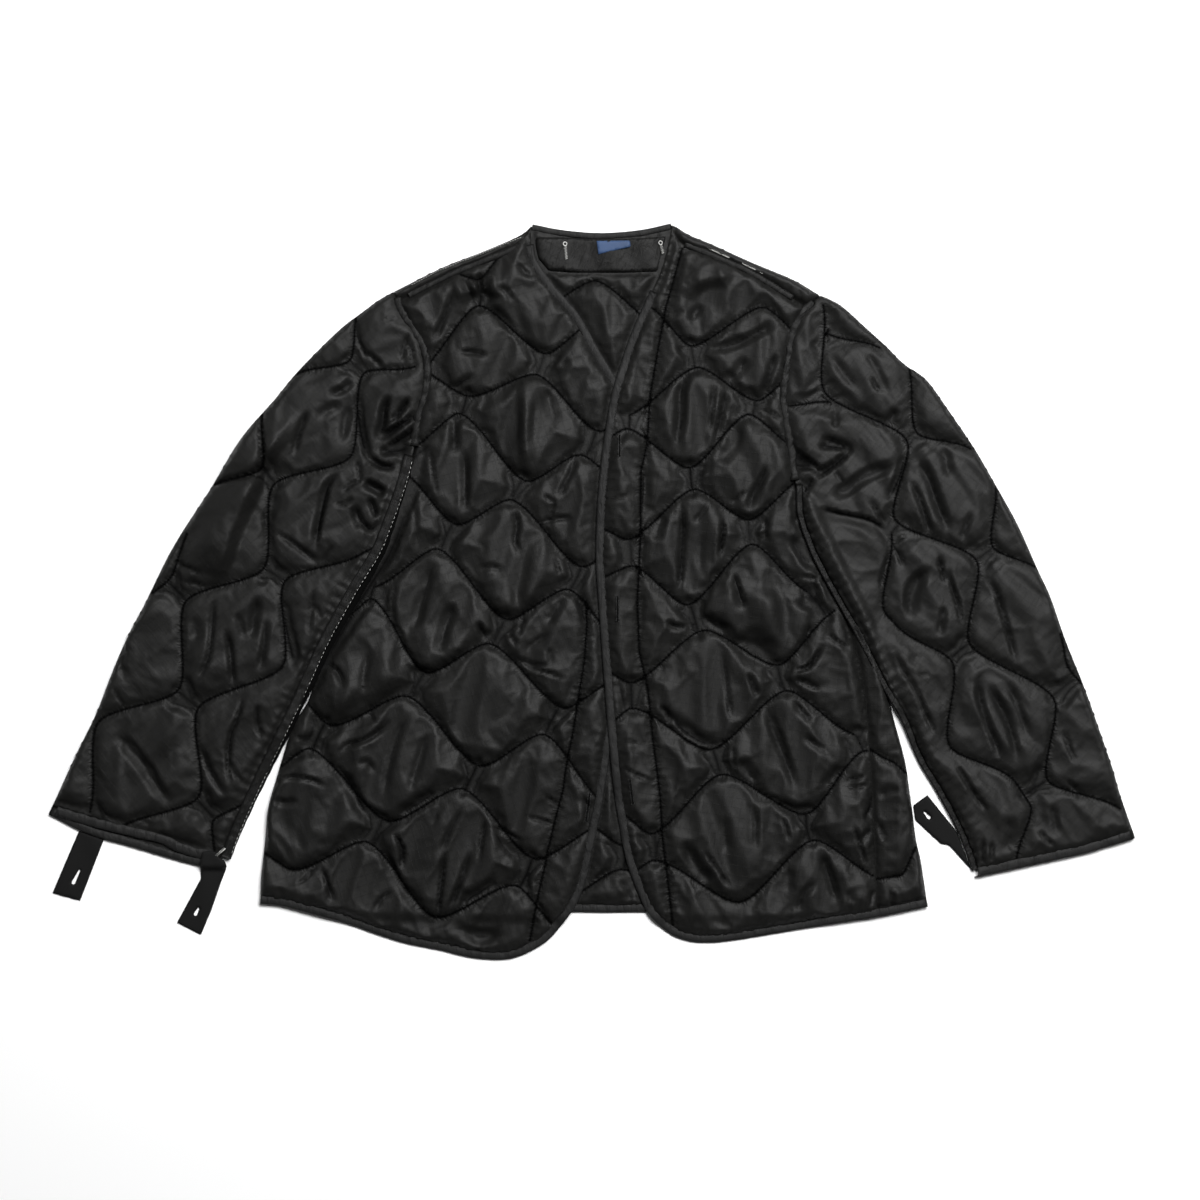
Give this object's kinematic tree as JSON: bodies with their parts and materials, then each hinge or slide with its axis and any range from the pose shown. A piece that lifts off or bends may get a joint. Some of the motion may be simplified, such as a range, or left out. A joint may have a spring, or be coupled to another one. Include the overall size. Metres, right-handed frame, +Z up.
{
  "type": "quilted field jacket liner",
  "caption": "Collarless quilted button-in liner of a field jacket, laid flat face up: overlapping bound fronts, flattened sleeves, outward seam allowances, cuff tabs.",
  "frame": {"origin": "on the floor, under the middle of the laid-out garment's bounding box", "axes": "+X to the wearer's left, +Y from the hem to the neck, +Z up out of the garment's front"},
  "size_m": [1.1416, 0.7733, 0.0185],
  "materials": {
    "quilted_cloth": "black ripstop nylon with a satin sheen",
    "binding_tape": "dull black woven tape",
    "tab_tape": "matt black cotton tape",
    "label": "blue woven label, bare"
  },
  "bodies": {
    "root": {"back_panel": "quilted_cloth", "front_right": "quilted_cloth", "front_left": "quilted_cloth", "sleeve_right": "quilted_cloth", "sleeve_left": "quilted_cloth", "armhole_seam_right": "quilted_cloth", "armhole_seam_left": "quilted_cloth", "shoulder_seam_right": "quilted_cloth", "shoulder_seam_left": "quilted_cloth", "underarm_seam_right": "quilted_cloth", "underarm_seam_left": "quilted_cloth", "neck_facing": "quilted_cloth", "front_binding_right": "binding_tape", "front_binding_left": "binding_tape", "neck_binding": "binding_tape", "hem_binding_back": "binding_tape", "cuff_tab_right_front": "tab_tape", "cuff_tab_right_back": "tab_tape", "cuff_tab_left": "tab_tape", "neck_label": "label"}
  },
  "joints": []
}
